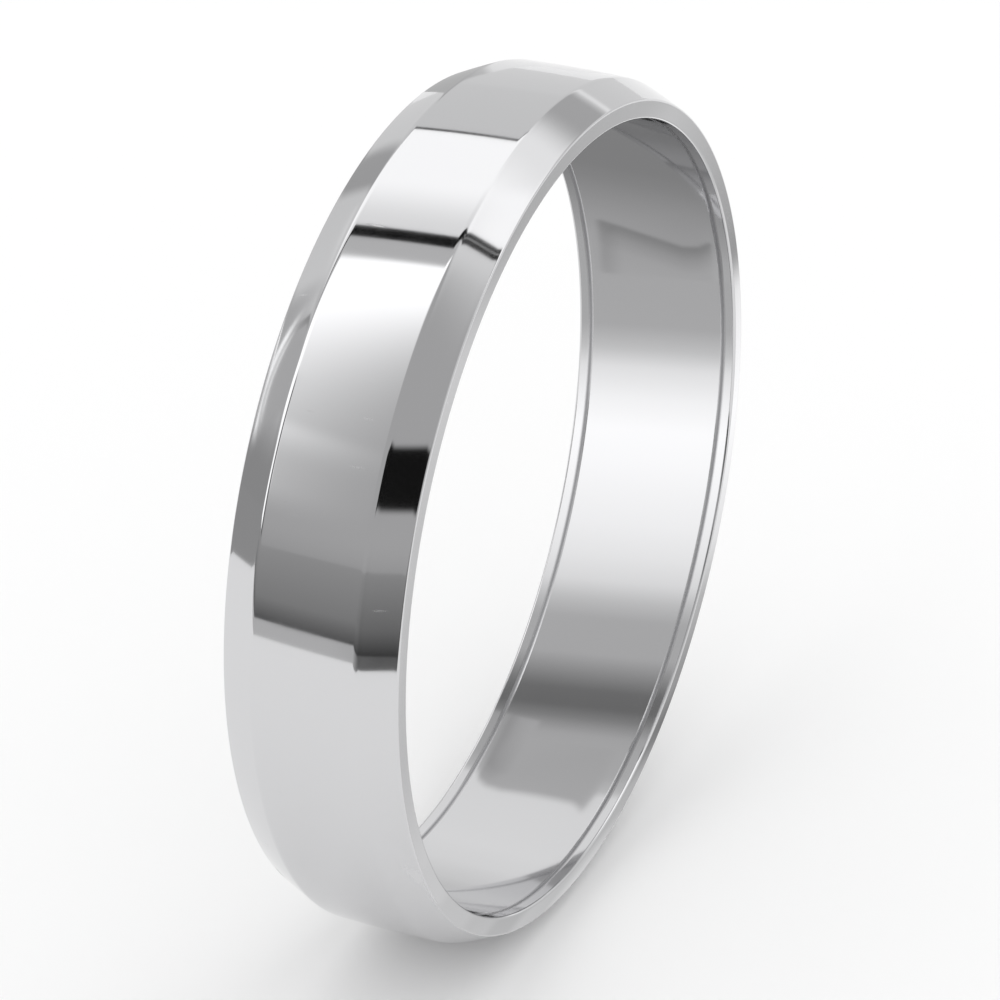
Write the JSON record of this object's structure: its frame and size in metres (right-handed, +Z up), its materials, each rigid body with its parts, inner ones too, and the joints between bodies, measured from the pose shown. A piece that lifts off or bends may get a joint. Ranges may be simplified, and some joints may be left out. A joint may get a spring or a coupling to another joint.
{
  "type": "wedding band",
  "caption": "Plain finger ring with a flat polished centre, a bevel on each side, flat side faces and a straight hole with a fine line cut near each end.",
  "frame": {"origin": "centre of the finger hole, halfway across the band's width", "axes": "+Y along the hole's axis, towards the side face that the picture shows; +Z up, with the ring standing upright on its rim; +X level, across the ring"},
  "size_m": [0.0195, 0.004, 0.0194],
  "materials": {
    "polished_metal": "high polish, white precious metal"
  },
  "bodies": {
    "root": {"band": "polished_metal"}
  },
  "joints": []
}
